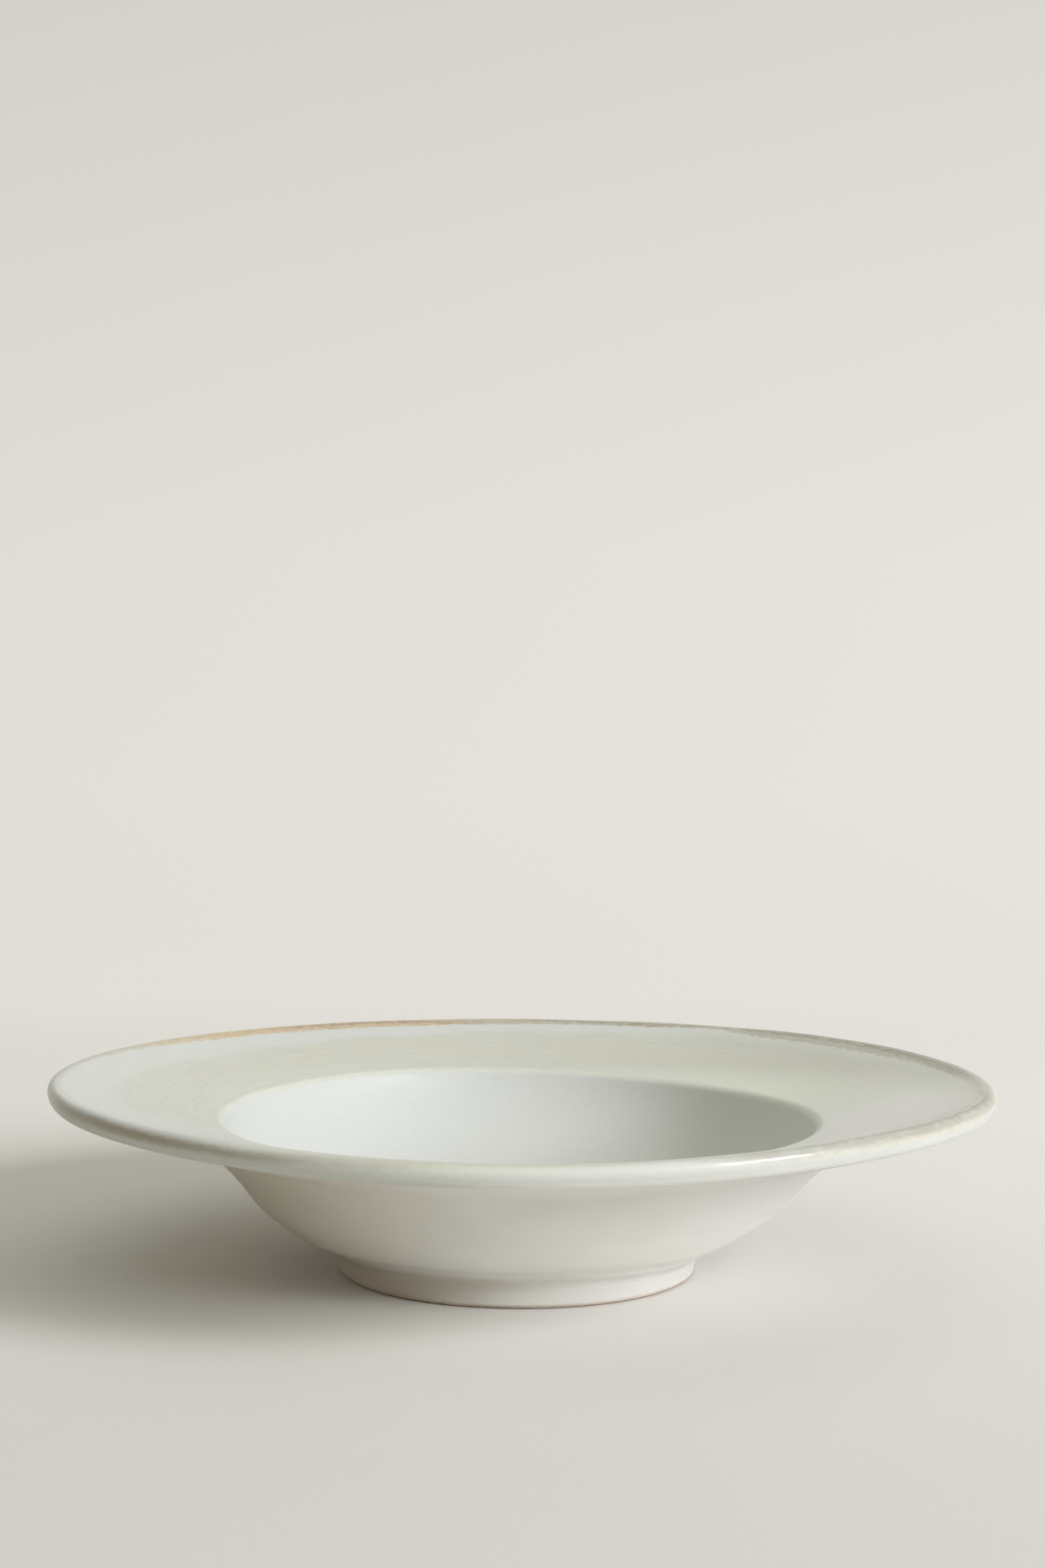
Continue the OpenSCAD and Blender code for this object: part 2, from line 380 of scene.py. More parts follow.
def ring_points(rows, depth, facets):
    """Vertices of rings at a depth under the finished surface, and each ring's along."""
    angle = np.arange(facets)/facets*2*math.pi
    angles, alongs = np.meshgrid(angle, along_of(rows[:, :2]))
    height = relief(angles, alongs) - depth
    r = rows[:, :1] + height*rows[:, 2:3]
    z = rows[:, 1:2] + height*rows[:, 3:4]
    return warped(r, z, angles), alongs


def ring_faces(ring, after, facets):
    """Faces from one ring to the next: triangles where one of them is a point on the axis."""
    j = np.arange(facets)
    k = (j + 1) % facets
    a, b = ring.start, after.start
    if ring.on_axis and after.on_axis:
        return []
    if ring.on_axis:
        faces = np.stack([np.full(facets, a), b + j, b + k], 1)
    elif after.on_axis:
        faces = np.stack([a + j, np.full(facets, b), a + k], 1)
    else:
        faces = np.stack([a + j, b + j, b + k, a + k], 1)
    return faces.tolist()


def braced(rows):
    """Rows with one more beside each end, so that a turn of the normals there stays out of sight."""
    first, last = rows[0], rows[-1]
    after = first + (rows[1] - first)*BRACE/np.linalg.norm(rows[1][:2] - first[:2])
    before = last + (rows[-2] - last)*BRACE/np.linalg.norm(rows[-2][:2] - last[:2])
    return np.vstack([first, after, rows[1:-1], before, last])


def coarse(rows, every=4):
    """Every few rows, with both ends kept."""
    picked = sorted(set(range(0, len(rows), every)) | {len(rows) - 1})
    return rows[picked]


def new_object(name, verts, faces, smooth_faces):
    """A mesh object in the scene."""
    mesh = bpy.data.meshes.new(name)
    mesh.from_pydata(verts, [], faces)
    mesh.polygons.foreach_set("use_smooth", smooth_faces)
    made = bpy.data.objects.new(name, mesh)
    bpy.context.scene.collection.objects.link(made)
    return made


def seen(rows, depth=0.0):
    """A loop of rows that shows, for lathe."""
    return rows, depth, True


def hidden(rows, depth=0.0):
    """A loop of rows inside the bowl, for lathe."""
    return rows, depth, False


def lathe(name, loops, facets):
    """A closed mesh turned from loops of rows, at their depths under the finished surface.

    A row on the axis is one point. Faces outside the seen loops are flat, so that a seen surface's
    normals are its own."""
    verts, alongs, rings = [], [], []
    count = 0
    for number, (rows, depth, shows) in enumerate(loops):
        rows = braced(rows) if shows else rows
        depth = np.broadcast_to(np.asarray(depth, float).reshape(-1, 1), (len(rows), 1))
        points, along = ring_points(rows, depth, facets)
        for i, row in enumerate(rows):
            on_axis = row[0] < SAME_PLACE
            ring = points[i].mean(0, keepdims=True) if on_axis else points[i]
            verts.append(ring)
            alongs.append(along[i][:len(ring)])
            rings.append(Ring(count, on_axis, number if shows else None))
            count += len(ring)
    faces, smooth_faces = [], []
    for ring, after in zip(rings, rings[1:] + rings[:1]):
        group = ring_faces(ring, after, facets)
        faces += group
        smooth_faces += [ring.loop is not None and ring.loop == after.loop]*len(group)
    piece = new_object(name, (np.vstack(verts)*MM).tolist(), faces, smooth_faces)
    attribute = piece.data.attributes.new("along", "FLOAT", "POINT")
    attribute.data.foreach_set("value", np.concatenate(alongs).astype(np.float32))
    piece.data.update()
    return piece


def coat(name, rows):
    """A coat of glaze over a stretch of the outline."""
    return lathe(name, [seen(rows), hidden(coarse(rows)[::-1], glaze_t)], FACETS)


class Graph:
    """Short calls that add nodes to a material or a world."""

    def __init__(self, owner):
        owner.use_nodes = True
        self.tree = owner.node_tree
        self.tree.nodes.clear()

    def node(self, kind, inputs=None, **settings):
        """A node with its settings, and with a link or a constant at each of the inputs given."""
        made = self.tree.nodes.new(kind)
        for name, value in settings.items():
            setattr(made, name, value)
        for name, value in (inputs or {}).items():
            if isinstance(value, bpy.types.NodeSocket):
                self.tree.links.new(value, made.inputs[name])
            else:
                made.inputs[name].default_value = value
        return made

    def math(self, operation, a, b=0.0, clamp=False):
        return self.node("ShaderNodeMath", {0: a, 1: b}, operation=operation, use_clamp=clamp).outputs[0]

    def add(self, a, b):
        return self.math("ADD", a, b)

    def minus(self, a, b):
        return self.math("SUBTRACT", a, b)

    def times(self, a, b):
        return self.math("MULTIPLY", a, b)

    def radius(self, x, y):
        """Distance from the axis."""
        return self.math("POWER", self.add(self.times(x, x), self.times(y, y)), 0.5)

    def step(self, value, low, high):
        """0 at low and 1 at high, smooth between."""
        made = self.node("ShaderNodeMapRange", {"Value": value, "From Min": low, "From Max": high},
                         interpolation_type="SMOOTHSTEP")
        return made.outputs["Result"]

    def between(self, value, first, last, soft):
        """1 from first to last, falling to 0 over a soft width at each end."""
        after = self.step(self.minus(value, first), -soft, soft)
        before = self.step(self.minus(last, value), -soft, soft)
        return self.times(after, before)

    def mix(self, factor, a, b, blend="MIX"):
        """Colour a at 0 and b at 1."""
        made = self.node("ShaderNodeMix", {0: factor, 6: a, 7: b}, data_type="RGBA", blend_type=blend)
        return made.outputs[2]

    def mix_value(self, factor, a, b):
        """Value a at 0 and b at 1."""
        return self.node("ShaderNodeMix", {0: factor, 2: a, 3: b}, data_type="FLOAT").outputs[0]

    def ramp(self, factor, stops, interpolation="EASE"):
        """A colour by place: each stop has its place, a share, and its colour."""
        made = self.node("ShaderNodeValToRGB", {"Fac": factor})
        ramp = made.color_ramp
        ramp.interpolation = interpolation
        while len(ramp.elements) < len(stops):
            ramp.elements.new(0.5)
        for element, (place, colour) in zip(ramp.elements, stops):
            element.position = place
            element.color = (*colour[:3], 1)
        return made.outputs["Color"]

    def noise(self, vector, scale, detail=2.0, roughness=0.5):
        made = self.node("ShaderNodeTexNoise", {"Vector": vector, "Scale": scale, "Detail": detail,
                                                "Roughness": roughness})
        return made.outputs["Fac"]

    def ripple(self, noise, size):
        """Noise turned into a length about 0, of a size from end to end."""
        return self.times(self.add(noise, -0.5), size)

    def vector(self, x, y, z):
        return self.node("ShaderNodeCombineXYZ", {"X": x, "Y": y, "Z": z}).outputs[0]

    def parts(self, vector):
        return self.node("ShaderNodeSeparateXYZ", {0: vector}).outputs

    def three(self, colour):
        """The three values that a ramp carries as a colour."""
        return self.node("ShaderNodeSeparateColor", {0: colour}).outputs[:3]


def srgb(r, g, b):
    """A colour given in the 0 to 255 steps of a screen, as Blender's linear values."""
    linear = [c/255/12.92 if c <= 10 else ((c/255 + 0.055)/1.055)**2.4 for c in (r, g, b)]
    return (*linear, 1)


# Where a shaded point lies: place, x, y and z are in millimetres, out_x and out_y are the way out from
# the axis, turn is the share of the way round from the left, and along is as in along_of
Spot = namedtuple("Spot", "place x y z out_x out_y turn along")


def bowl_spot(g):
    """Where the shaded point lies on the bowl."""
    place = g.node("ShaderNodeTexCoord").outputs["Object"]
    place = g.node("ShaderNodeVectorMath", {0: place, 1: [1/MM]*3}, operation="MULTIPLY").outputs[0]
    x, y, z = g.parts(place)
    turn = g.add(g.times(g.math("ARCTAN2", y, x), 1/(2*math.pi)), 0.5)
    out = g.node("ShaderNodeVectorMath", {0: g.vector(x, y, 0.0)}, operation="NORMALIZE").outputs[0]
    out_x, out_y, _ = g.parts(out)
    along = g.node("ShaderNodeAttribute", attribute_name="along").outputs["Fac"]
    return Spot(place, x, y, z, out_x, out_y, turn, along)


def streaks(g, spot, round_scale, along_scale, detail):
    """Noise drawn out round the bowl, as a brush or a throwing hand leaves it."""
    place = g.vector(g.times(spot.out_x, round_scale), g.times(spot.out_y, round_scale),
                     g.times(spot.along, along_scale))
    return g.noise(place, 1.0, detail, 0.6)


# Colours of the well, the flange and the band
WHITE = srgb(194, 196, 192)
# A lighter white for the well's right side, which is in shade: painted light
WHITE_PAINTED_LIGHT = srgb(218, 220, 213)
MARGIN = srgb(208, 211, 207)
MARGIN_WARM = srgb(207, 209, 200)
SAGE = srgb(204, 205, 194)
SAGE_DARK = srgb(195, 197, 183)
SAGE_YELLOW = srgb(204, 201, 185)
# Painted light for the right of the flange, where it faces away from the lamp, a little sager at the back
FLANGE_PAINTED_LIGHT = srgb(236, 237, 234)
FLANGE_PAINTED_LIGHT_SAGE = srgb(227, 230, 218)
# Colours of the wall and the foot
WARM = srgb(236, 234, 228)
WARM_DARK = srgb(228, 226, 219)
WARM_PALE = srgb(226, 226, 224)
# Painted light for the wall just over the foot, where the crease shades it
WARM_PAINTED_LIGHT = srgb(246, 245, 239)
# A warm brown for the left of the wall and of the foot, darkened with painted shade
UMBER_AND_SHADE = srgb(200, 194, 178)
BLUSH_AND_SHADE = srgb(202, 191, 175)
FOOT_GREY = srgb(206, 205, 200)
FOOT_WARM = srgb(216, 213, 204)
BARE_EDGE = srgb(176, 142, 112)
CLAY = srgb(190, 170, 148)
CLAY_DARK = srgb(150, 128, 106)
FOOT_CLAY = srgb(178, 138, 94)
FOOT_CLAY_DARK = srgb(130, 98, 64)
# Tints of the lip
PEACH = srgb(207, 186, 151)
ORANGE = srgb(200, 179, 144)
VIOLET = srgb(156, 134, 124)
OLIVE = srgb(164, 160, 143)
MOSS = srgb(164, 157, 128)
KHAKI = srgb(179, 175, 156)
BROWN = srgb(160, 151, 130)
TAUPE = srgb(182, 180, 167)
GREIGE = srgb(194, 193, 183)
CREAM = srgb(196, 190, 172)
YELLOW = srgb(206, 202, 172)
ASH = srgb(203, 205, 201)
# A dark ash for the strip of painted shade over the lip's top at the near right
ASH_PAINTED_SHADE = srgb(168, 165, 155)
# What a colour is multiplied by where a tint lies thicker, and where the flange and well are mottled
THICKER = (0.80, 0.78, 0.74, 1)
MOTTLED = (0.955, 0.955, 0.95, 1)

# The glaze breaks over the lip. Each row goes once round, from the left by the front and the right
# to the back: the angle in degrees, the colour, where it starts and ends in millimetres out from
# the crown, and how strong it is. First a wash of painted shade over the outer face, then the broken
# edge itself, and last a thin line at the crown, whose dark ash at the near right is painted shade.
SHADE_WASH_STOPS = (
    (-180, GREIGE, 3.0, 9.0, 0.5),
    (-150, GREIGE, 3.0, 9.0, 0.8),
    (-124, GREIGE, 3.0, 9.0, 0.7),
    (-108, GREIGE, 3.0, 9.0, 0.2),
    (-90, ASH, 2.6, 6.5, 0.4),
    (-60, ASH, 2.2, 6.2, 0.7),
    (-10, ASH, 2.0, 6.2, 0.8),
    (20, GREIGE, 2.0, 8.5, 0.5),
    (180, GREIGE, 3.0, 9.0, 0.5),
)
EDGE_STOPS = (
    (-180, GREIGE, 0.4, 3.0, 0.7),
    (-164, GREIGE, 1.2, 4.0, 0.8),
    (-150, BROWN, 2.7, 4.9, 0.8),
    (-136, BROWN, 3.0, 5.1, 0.9),
    (-122, BROWN, 3.0, 4.8, 0.6),
    (-106, TAUPE, 1.6, 3.8, 0.6),
    (-92, YELLOW, 0.4, 2.2, 0.4),
    (-76, ASH, 0.0, 1.8, 0.3),
    (-62, CREAM, 2.8, 4.2, 0.5),
    (-46, CREAM, 3.0, 4.6, 0.7),
    (-30, CREAM, 3.0, 4.6, 0.8),
    (-16, CREAM, 2.6, 4.2, 0.7),
    (-4, GREIGE, -1.0, 2.2, 0.6),
    (12, TAUPE, -5.4, 3.0, 0.8),
    (34, TAUPE, -6.6, 4.0, 0.9),
    (50, TAUPE, -6.2, 4.0, 0.9),
    (60, KHAKI, -2.8, 3.0, 0.6),
    (80, KHAKI, -4.6, 3.0, 0.85),
    (94, KHAKI, -5.6, 3.0, 0.85),
    (104, ORANGE, -6.2, 3.5, 0.95),
    (122, ORANGE, -5.8, 3.5, 0.95),
    (138, PEACH, -5.2, 3.5, 0.95),
    (150, PEACH, -4.2, 3.5, 0.75),
    (162, CREAM, -2.2, 2.0, 0.45),
    (180, GREIGE, 0.4, 3.0, 0.7),
)
LINE_STOPS = (
    (-180, TAUPE, -0.6, 1.5, 0.2),
    (-150, TAUPE, 1.2, 2.2, 0.0),
    (-78, ASH_PAINTED_SHADE, 0.8, 2.4, 0.1),
    (-62, ASH_PAINTED_SHADE, 0.6, 3.5, 0.75),
    (-40, ASH_PAINTED_SHADE, 0.2, 3.6, 0.95),
    (-20, ASH_PAINTED_SHADE, -0.2, 3.6, 0.95),
    (-6, OLIVE, -3.0, 1.0, 0.1),
    (8, OLIVE, -4.6, 0.5, 0.6),
    (20, OLIVE, -3.4, 1.0, 0.9),
    (46, OLIVE, -2.6, 1.5, 0.8),
    (60, OLIVE, -2.0, 1.5, 0.6),
    (70, MOSS, -4.0, -0.9, 0.85),
    (84, VIOLET, -2.4, 0.5, 0.4),
    (94, ORANGE, -2.4, 0.5, 0.5),
    (98, BROWN, -5.4, -3.4, 0.6),
    (108, VIOLET, -3.0, -0.4, 0.7),
    (122, VIOLET, -2.8, -0.4, 0.6),
    (134, ORANGE, -2.8, -0.6, 0.4),
    (180, TAUPE, -0.6, 1.5, 0.2),
)
# The margin that the brushed band leaves: the angle, its width in millimetres, how yellow the band is,
# and how full it is
BAND_STOPS = (
    (-180, 17, 0.0, 1.0),
    (-168, 16, 0.0, 0.9),
    (-152, 15, 0.1, 0.4),
    (-110, 14, 0.1, 0.5),
    (-40, 12, 0.0, 1.0),
    (30, 9, 0.1, 1.0),
    (62, 9, 0.6, 1.0),
    (82, 13, 0.8, 1.0),
    (112, 16, 0.9, 1.0),
    (135, 17, 0.3, 1.0),
    (180, 17, 0.0, 1.0),
)
# The shine: the place along the outline, the roughness, the strength of the plain reflection, and
# that of the clear layer on top
SHINE_STOPS = (
    (-60, 0.60, 0.30, 0.0),
    (-50, 0.52, 0.35, 0.0),
    (-44, 0.40, 0.50, 0.0),
    (-16, 0.33, 0.50, 0.0),
    (-4, 0.32, 0.45, 0.05),
    (-1, 0.42, 0.20, 0.30),
    (5, 0.42, 0.20, 0.30),
    (10, 0.40, 0.40, 0.05),
    (16, 0.42, 0.45, 0.0),
)
# A length that a ramp carries as a value is a share of this span, with 0 in its middle
LENGTH_SPAN = 40
# A ramp by the place along the outline spans this length, with the crown at a share of it
ALONG_SPAN = 200
CROWN_SHARE = 0.75


def on_ramp(length):
    """A length as a value on a ramp."""
    return length/LENGTH_SPAN + 0.5


def off_ramp(g, value):
    """A value that a ramp gives, as the length again."""
    return g.times(g.add(value, -0.5), LENGTH_SPAN)


def round_ramp(g, spot, stops):
    """A colour, or three values, that changes round the bowl by the angle in degrees."""
    return g.ramp(spot.turn, [((angle + 180)/360, value) for angle, value in stops])


def shine(g, spot):
    """Roughness, the strength of the plain reflection, and of the clear layer on top, by place."""
    place = g.math("ADD", g.times(spot.along, 1/ALONG_SPAN), CROWN_SHARE, clamp=True)
    stops = [(along/ALONG_SPAN + CROWN_SHARE, values) for along, *values in SHINE_STOPS]
    return g.three(g.ramp(place, stops))


def lay(g, base, spot, noises, stops, soft, broken):
    """The base colour with one row of the lip's tints laid on it, ragged and broken by two noises."""
    ragged, mottle = noises
    tint = round_ramp(g, spot, [(angle, colour) for angle, colour, *_ in stops])
    thick = g.times(g.step(mottle, 0.42, 0.62), g.add(0.2, g.times(g.step(spot.along, 1.5, -1.0), 0.6)))
    tint = g.mix(thick, tint, THICKER, "MULTIPLY")
    spread = [(angle, (on_ramp(first), on_ramp(last), strong)) for angle, _, first, last, strong in stops]
    first, last, strength = g.three(round_ramp(g, spot, spread))
    moved = g.add(spot.along, g.times(ragged, soft))
    cover = g.times(g.between(moved, off_ramp(g, first), off_ramp(g, last), soft), strength)
    # Outside the crown the tint is nearly whole, and inside it the mottle opens gaps
    whole = g.step(mottle, broken - 0.35, broken)
    outside = g.add(0.6, g.times(whole, 0.4))
    cover = g.times(cover, g.mix_value(g.step(spot.along, 2.5, -0.5), outside, whole))
    return g.mix(cover, base, tint)


def lip_colour(g, base, spot):
    """The base colour with the broken edge over the lip laid on it."""
    raggedness = g.add(2.0, g.times(g.step(spot.along, 1.0, -2.0), 6.0))
    noises = (g.ripple(g.noise(spot.place, 0.35, 5.0, 0.7), raggedness), streaks(g, spot, 45.0, 0.9, 4.0))
    # First a wash of painted shade over the outer face
    colour = lay(g, base, spot, noises, SHADE_WASH_STOPS, 1.0, 0.3)
    colour = lay(g, colour, spot, noises, EDGE_STOPS, 0.8, 0.45)
    return lay(g, colour, spot, noises, LINE_STOPS, 0.7, 0.55)


def band_cover(g, spot, width, full):
    """How much of the brushed band lies here: streaked, with a border that wanders."""
    wander = g.add(g.ripple(g.noise(spot.place, 0.05, 3.0, 0.55), 10.0),
                   g.ripple(streaks(g, spot, 34.0, 0.5, 4.0), 12.0))
    inwards = g.minus(g.add(g.times(spot.along, -1.0), wander), off_ramp(g, width))
    dashes = g.step(streaks(g, spot, 42.0, 1.3, 3.0), 0.66, 0.44)
    return g.times(g.times(g.step(inwards, -3.5, 4.0), full), g.add(0.6, g.times(dashes, 0.4)))


def band_colour(g, spot, yellow):
    """Sage with long dark streaks, yellower in patches along its middle."""
    sage = g.mix(g.step(streaks(g, spot, 6.0, 0.8, 5.0), 0.3, 0.72), SAGE, SAGE_DARK)
    zone = g.times(yellow, g.between(spot.along, -37.0, -22.0, 4.0))
    patches = g.step(g.noise(spot.place, 0.07, 3.0, 0.5), 0.3, 0.6)
    return g.mix(g.times(zone, patches), sage, SAGE_YELLOW)


def inside_colour(g, spot):
    """White in the well, the brushed band, and the margin outside it. To the right both carry painted
    light: the well's side that is in shade is lighter, and so is the flange where it faces away from the
    lamp.
    """
    aside = g.minus(spot.x, g.times(spot.y, 0.7))
    out = g.add(spot.along, 44.0)
    # Towards the right the band and margin give way to painted light, less so further out towards the rim
    painted_light_right = g.step(aside, g.add(g.times(out, 4.56), -60.0), g.add(g.times(out, 2.5), 80.0))
    stops = [(angle, (on_ramp(margin), tinge, full)) for angle, margin, tinge, full in BAND_STOPS]
    width, yellow, full = g.three(round_ramp(g, spot, stops))
    margin = g.mix(g.step(aside, -40.0, 60.0), MARGIN, MARGIN_WARM)
    band = g.mix(band_cover(g, spot, width, full), margin, band_colour(g, spot, yellow))
    pale = g.mix(g.step(spot.y, -20.0, 35.0), FLANGE_PAINTED_LIGHT, FLANGE_PAINTED_LIGHT_SAGE)
    # The well is lighter towards its shaded right side: painted light
    well = g.mix(g.step(aside, -90.0, 85.0), WHITE, WHITE_PAINTED_LIGHT)
    colour = g.mix(g.step(spot.along, -48.3, -51.3), g.mix(painted_light_right, band, pale), well)
    mottle = g.step(streaks(g, spot, 60.0, 0.9, 5.0), 0.25, 0.75)
    return g.mix(mottle, colour, MOTTLED, "MULTIPLY")


def outside_colour(g, inside, spot):
    """The inside's colour carried over the lip, and warm below it, browner to the left and on the foot. The
    darker brown at the left and in the crease is partly painted shade, and the wall just over the foot
    carries painted light at the front and right.
    """
    cloud = g.times(g.step(g.noise(spot.place, 0.05, 3.0, 0.5), 0.4, 0.7), 0.5)
    warm = g.mix(cloud, WARM, WARM_DARK)
    warm = g.mix(g.step(spot.x, 30.0, 90.0), warm, WARM_PALE)
    # Painted light on the wall just over the foot, towards the front and right
    low = g.times(g.between(spot.z, 8.0, 22.0, 3.0), g.step(spot.x, -45.0, 0.0))
    warm = g.mix(g.times(low, 0.8), warm, WARM_PAINTED_LIGHT)
    # Browner and darker towards the left: the glaze's warm tint with painted shade
    warm = g.mix(g.step(spot.x, 0.0, -80.0), warm, UMBER_AND_SHADE)
    # The foot, darker at its left with painted shade, and with a blush in the crease over it that is a warm
    # tint with painted shade
    ragged = g.ripple(g.noise(spot.place, 0.12, 4.0, 0.6), 2.5)
    level = g.add(spot.z, ragged)
    foot = g.mix(g.step(spot.x, 0.0, -45.0), FOOT_WARM, BLUSH_AND_SHADE)
    foot = g.mix(g.step(spot.x, 30.0, -10.0), FOOT_GREY, foot)
    warm = g.mix(g.step(level, 9.0, 5.5), warm, foot)
    crease_blush_and_shade = g.times(g.between(level, 5.5, 9.0, 1.5), g.step(spot.x, 30.0, -40.0))
    warm = g.mix(g.times(crease_blush_and_shade, 0.6), warm, BLUSH_AND_SHADE)
    # The thin lower edge, where the clay shows through
    thin = g.add(spot.z, g.ripple(g.noise(spot.place, 0.18, 4.0, 0.6), 1.6))
    warm = g.mix(g.times(g.step(thin, 1.7, 1.0), 0.35), warm, BARE_EDGE)
    # The border under the lip, which is lower at the left
    lowered = g.times(g.step(spot.x, 0.0, -60.0), 2.5)
    below = g.step(g.minus(g.add(spot.along, g.times(ragged, 0.5)), lowered), 5.2, 8.4)
    return g.mix(below, inside, warm)


def new_graph(name):
    """A new material and its empty graph."""
    material = bpy.data.materials.new(name)
    return material, Graph(material)


def glaze(name, outside=False, speck_share=0.05):
    """Glaze with orange peel, the band's brush strokes, and small iron specks that lie in pits."""
    material, g = new_graph(name)
    spot = bowl_spot(g)
    colour = inside_colour(g, spot)
    if outside:
        colour = outside_colour(g, colour, spot)
    colour = lip_colour(g, colour, spot)
    cells = g.node("ShaderNodeTexVoronoi", {"Vector": spot.place, "Scale": 0.4}, feature="F1")
    chosen = g.step(g.parts(cells.outputs["Color"])[0], 1 - speck_share, 1.01 - speck_share)
    speck = g.times(g.step(cells.outputs["Distance"], 0.12, 0.04), chosen)
    colour = g.mix(g.times(speck, 0.45), colour, BROWN)
    peel = g.noise(spot.place, 0.9, 3.0, 0.5)
    brushed = g.times(g.step(spot.along, -6.0, -16.0), g.step(spot.along, -50.0, -42.0))
    strokes = g.times(streaks(g, spot, 42.0, 1.3, 3.0), g.times(brushed, 1.6))
    height = g.add(g.add(peel, strokes), g.times(speck, -0.6))
    bump = g.node("ShaderNodeBump", {"Height": height, "Strength": 0.6, "Distance": 0.035*MM})
    rough, plain, clear = shine(g, spot)
    rough = g.add(rough, g.ripple(g.noise(spot.place, 0.12, 3.0, 0.5), 0.12))
    shader = g.node("ShaderNodeBsdfPrincipled", {"Base Color": colour, "Roughness": rough, "IOR": 1.5,
                                                 "Specular IOR Level": plain, "Coat Weight": clear,
                                                 "Coat Roughness": 0.08, "Normal": bump.outputs[0]})
    g.node("ShaderNodeOutputMaterial", {"Surface": shader.outputs[0]})
    return material


def fired_clay(name, light, dark, run_over=0.0):
    """Fired clay, with a thin run of glaze on the outside of the foot's edge down to a small height."""
    material, g = new_graph(name)
    spot = bowl_spot(g)
    grain = g.noise(spot.place, 1.6, 6.0, 0.7)
    cloud = g.noise(spot.place, 0.15, 2.0, 0.5)
    colour = g.mix(g.step(grain, 0.3, 0.7), dark, light)
    colour = g.mix(g.times(cloud, 0.4), colour, light)
    if run_over:
        low = g.add(spot.z, g.ripple(g.noise(spot.place, 0.3, 4.0, 0.6), 0.5))
        run = g.step(low, run_over - 0.15, run_over + 0.15)
        run = g.times(run, g.step(g.radius(spot.x, spot.y), 50.0, 51.0))
        colour = g.mix(g.times(run, 0.75), colour, WARM_DARK)
    bump = g.node("ShaderNodeBump", {"Height": grain, "Strength": 0.7, "Distance": 0.08*MM})
    shader = g.node("ShaderNodeBsdfPrincipled", {"Base Color": colour, "Roughness": 0.85,
                                                 "Normal": bump.outputs[0]})
    g.node("ShaderNodeOutputMaterial", {"Surface": shader.outputs[0]})
    return material


def replace(piece, node, material):
    """Puts a dressed piece in the place of its CAD node."""
    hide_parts(node)
    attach(piece, "root")
    piece.data.materials.append(material)


def band_depths(bed):
    """How deep the band's bed lies under each row: thin at both edges, full between."""
    along = along_of(bed[:, :2])
    fade = band_fade_share*(along[-1] - along[0])
    return band_t*np.minimum(1, np.minimum(along - along[0], along[-1] - along)/fade)


def make_inner_glaze():
    """White glaze in the well and over the flange, with the bed that the band melted into."""
    bed = joined("band")
    depths = band_depths(bed)
    piece = lathe("inner_glaze_piece", [
        seen(joined("dish", "side", "turn", "band_in", bed[:1])),
        hidden(bed[1:-1], depths[1:-1]),
        seen(joined(bed[-1:], "band_out", "lip_top")),
        hidden(coarse(joined(*INSIDE))[::-1], glaze_t),
    ], FACETS)
    replace(piece, "inner_glaze", glaze("white_satin_glaze"))


def make_band_glaze():
    """Sage band that fills its bed."""
    bed = joined("band")
    depths = band_depths(bed)
    piece = lathe("band_glaze_piece", [
        seen(bed),
        hidden(bed[1:-1][::-1], depths[1:-1][::-1]),
    ], FACETS)
    replace(piece, "band_glaze", glaze("brushed_sage_glaze"))


def make_lip_glaze():
    """Broken edge over the outside of the lip."""
    piece = coat("lip_glaze_piece", joined("lip_side"))
    replace(piece, "lip_glaze", glaze("broken_lip_glaze"))


def make_satin_glazes():
    """Warm satin glaze under the flange and down to the foot's edge, and on the base inside the foot."""
    outer = coat("outer_glaze_piece", joined(*OUTSIDE, ROWS["foot_edge"][:1]))
    base = coat("base_glaze_piece", joined(ROWS["inside_edge"][-1:], "inside_side", "recess", "base"))
    satin = glaze("warm_satin_glaze", outside=True, speck_share=0.03)
    replace(outer, "outer_glaze", satin)
    replace(base, "base_glaze", satin)


def make_clay():
    """The body under the glaze, and the foot ring that it is joined to at a flat step."""
    joint_corner = np.array([[joint_r, recess_h + glaze_t, 1, 0]])
    base_middle = np.array([[0, recess_h + glaze_t, 0, -1]])
    outside = [coarse(ROWS[name]) for name in ("lip_side", "lip_under", "under", "fillet", "wall")]
    body = lathe("clay_body_piece", [
        seen(joined(coarse(joined(*INSIDE)), *outside), glaze_t),
        hidden(joint_corner),
        hidden(base_middle),
    ], INNER_FACETS)
    foot = lathe("foot_ring_piece", [
        seen(joined("cove", "foot_side", "foot_edge", "inside_edge", "inside_side", "recess"), glaze_t),
        hidden(joint_corner),
    ], INNER_FACETS)
    replace(body, "clay_body", fired_clay("fired_clay", CLAY, CLAY_DARK))
    replace(foot, "foot_ring", fired_clay("bare_foot_clay", FOOT_CLAY, FOOT_CLAY_DARK, 0.38))


# Stage, in metres: a pale sweep of paper, darker towards the front with painted shade, whose back glows
# with painted light graded from the floor's level up
SWEEP_FRONT = -2.5
SWEEP_BACK = 2.4
SWEEP_R = 1.2
SWEEP_H = 3.0
SWEEP_HALF_W = 4.0
SWEEP_STEPS = 24
# The floor is darker towards the front: painted shade
FLOOR_FRONT_SHADE = srgb(214, 212, 208)
FLOOR_BACK = srgb(236, 234, 230)
BACK_STOPS = ((0.0, srgb(227, 224, 217)), (0.07, srgb(228, 225, 218)), (0.26, srgb(227, 224, 217)),
              (0.5, srgb(222, 219, 212)), (0.72, srgb(216, 213, 206)), (1.0, srgb(207, 204, 196)))
BACK_TOP = 1.6
